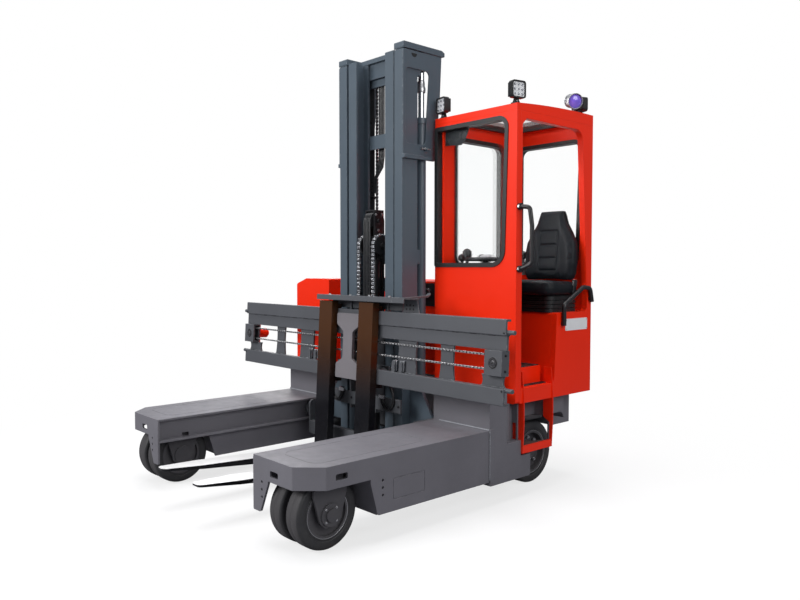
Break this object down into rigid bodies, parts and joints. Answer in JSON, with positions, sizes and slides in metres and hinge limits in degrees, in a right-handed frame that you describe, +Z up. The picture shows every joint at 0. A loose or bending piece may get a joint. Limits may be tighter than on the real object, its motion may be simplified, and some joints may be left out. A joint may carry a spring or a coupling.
{
  "type": "multidirectional reach truck",
  "caption": "Multidirectional reach truck with a side cab, outrigger arms on steered wheels, a reaching telescopic mast and a wide tilting fork carriage with a chain fork positioner.",
  "frame": {"origin": "on the floor below the centre of the whole truck", "axes": "+Z up, the forks point to -Y, the cab stands on the +X side"},
  "size_m": [2.638, 2.3826, 2.749],
  "materials": {
    "red_body": "semi-gloss",
    "mast_paint": "satin",
    "frame_paint": "satin",
    "rail_paint": "satin",
    "black_paint": "satin",
    "fork_steel": "bare blade, black shank",
    "chain_steel": "oiled",
    "rod_chrome": "polished",
    "glass": "clear",
    "seal_rubber": "matte",
    "tyre_tread": "matte",
    "hub_paint": "satin",
    "seat_cover": "synthetic leather",
    "trim_plastic": "moulded",
    "lamp_black": "moulded, white lens",
    "battery_case": "matte"
  },
  "bodies": {
    "chassis": {"chassis_frame": "frame_paint", "battery_block": "battery_case", "side_hood": "red_body", "rear_hood": "red_body", "service_panel": "black_paint", "cab_front_panel": "red_body", "cab_rear_panel": "red_body", "cab_inner_panel": "red_body", "cab_door_side": "red_body", "cab_roof": "red_body", "cab_floor": "red_body", "window_seals": "seal_rubber", "window_panes": "glass", "seat_base": "trim_plastic", "seat_cushion": "seat_cover", "seat_back": "seat_cover", "seat_restraint_bar": "black_paint", "grab_handle": "black_paint", "control_console": "trim_plastic", "steering_wheel": "trim_plastic", "roof_lamps": "lamp_black", "entry_step": "frame_paint", "reach_cylinder_barrels": "black_paint", "left_outrigger": "frame_paint", "right_outrigger": "frame_paint", "left_wheel_tower": "frame_paint", "right_wheel_tower": "frame_paint"},
    "reach_carriage": {"reach_carriage": "frame_paint", "reach_cylinder_rods": "rod_chrome", "outer_mast": "mast_paint", "mast_hoses": "seal_rubber", "lift_cylinder_barrels": "black_paint"},
    "inner_mast": {"inner_mast": "mast_paint", "lift_cylinder_rods": "rod_chrome", "free_lift_barrel": "black_paint"},
    "crosshead": {"chain_crosshead": "black_paint", "lift_chains": "chain_steel"},
    "lift_block": {"lift_block": "rail_paint"},
    "fork_carriage": {"carriage_frame": "rail_paint", "centre_plate": "rail_paint", "top_guard": "rail_paint", "positioner_housings": "rail_paint", "positioner_motor": "red_body", "positioner_chain": "chain_steel"},
    "left_fork": {"left_fork": "fork_steel"},
    "right_fork": {"right_fork": "fork_steel"},
    "left_front_steer": {"left_front_fork": "hub_paint"},
    "left_front_wheel": {"left_front_hub": "hub_paint", "left_front_tyres": "tyre_tread"},
    "left_rear_steer": {"left_rear_leg": "hub_paint"},
    "left_rear_wheel": {"left_rear_hub": "hub_paint", "left_rear_tyre": "tyre_tread"},
    "right_front_steer": {"right_front_fork": "hub_paint"},
    "right_front_wheel": {"right_front_hub": "hub_paint", "right_front_tyres": "tyre_tread"},
    "right_rear_steer": {"right_rear_leg": "hub_paint"},
    "right_rear_wheel": {"right_rear_hub": "hub_paint", "right_rear_tyre": "tyre_tread"}
  },
  "joints": [
    {"name": "left_front_steering", "type": "hinge", "parent": "chassis", "child": "left_front_steer", "pos_m": [0.77, -0.84574, 0], "axis": [0, 0, 1], "range_deg": [-90, 90]},
    {"name": "left_front_rolling", "type": "hinge", "parent": "left_front_steer", "child": "left_front_wheel", "pos_m": [0.77, -0.84574, 0.18], "axis": [1, 0, 0], "continuous": true},
    {"name": "left_rear_steering", "type": "hinge", "parent": "chassis", "child": "left_rear_steer", "pos_m": [0.773, 0.79126, 0], "axis": [0, 0, 1], "range_deg": [-90, 90]},
    {"name": "left_rear_rolling", "type": "hinge", "parent": "left_rear_steer", "child": "left_rear_wheel", "pos_m": [0.773, 0.79126, 0.197], "axis": [1, 0, 0], "continuous": true},
    {"name": "right_front_steering", "type": "hinge", "parent": "chassis", "child": "right_front_steer", "pos_m": [-0.77, -0.84574, 0], "axis": [0, 0, 1], "range_deg": [-90, 90]},
    {"name": "right_front_rolling", "type": "hinge", "parent": "right_front_steer", "child": "right_front_wheel", "pos_m": [-0.77, -0.84574, 0.18], "axis": [1, 0, 0], "continuous": true},
    {"name": "right_rear_steering", "type": "hinge", "parent": "chassis", "child": "right_rear_steer", "pos_m": [-0.773, 0.79126, 0], "axis": [0, 0, 1], "range_deg": [-90, 90]},
    {"name": "right_rear_rolling", "type": "hinge", "parent": "right_rear_steer", "child": "right_rear_wheel", "pos_m": [-0.773, 0.79126, 0.197], "axis": [1, 0, 0], "continuous": true},
    {"name": "mast_reach", "type": "slide", "parent": "chassis", "child": "reach_carriage", "axis": [0, -1, 0], "range_m": [0, 0.9]},
    {"name": "mast_lift", "type": "slide", "parent": "reach_carriage", "child": "inner_mast", "axis": [0, 0, 1], "range_m": [0, 1.9]},
    {"name": "fork_lift", "type": "slide", "parent": "inner_mast", "child": "lift_block", "axis": [0, 0, 1], "range_m": [-0.09, 1.5]},
    {"name": "chain_crosshead_lift", "type": "slide", "parent": "inner_mast", "child": "crosshead", "axis": [0, 0, 1], "range_m": [-0.045, 0.75]},
    {"name": "fork_tilt", "type": "hinge", "parent": "lift_block", "child": "fork_carriage", "pos_m": [0, 0.08126, 1.04], "axis": [1, 0, 0], "range_deg": [-2.5, 5]},
    {"name": "left_fork_spread", "type": "slide", "parent": "fork_carriage", "child": "left_fork", "axis": [1, 0, 0], "range_m": [-0.015, 0.265]},
    {"name": "right_fork_spread", "type": "slide", "parent": "fork_carriage", "child": "right_fork", "axis": [-1, 0, 0], "range_m": [-0.015, 0.265]}
  ],
  "couplings": [
    {"joint": "chain_crosshead_lift", "follows": "fork_lift", "ratio": 0.5},
    {"joint": "right_fork_spread", "follows": "left_fork_spread", "ratio": 1}
  ]
}
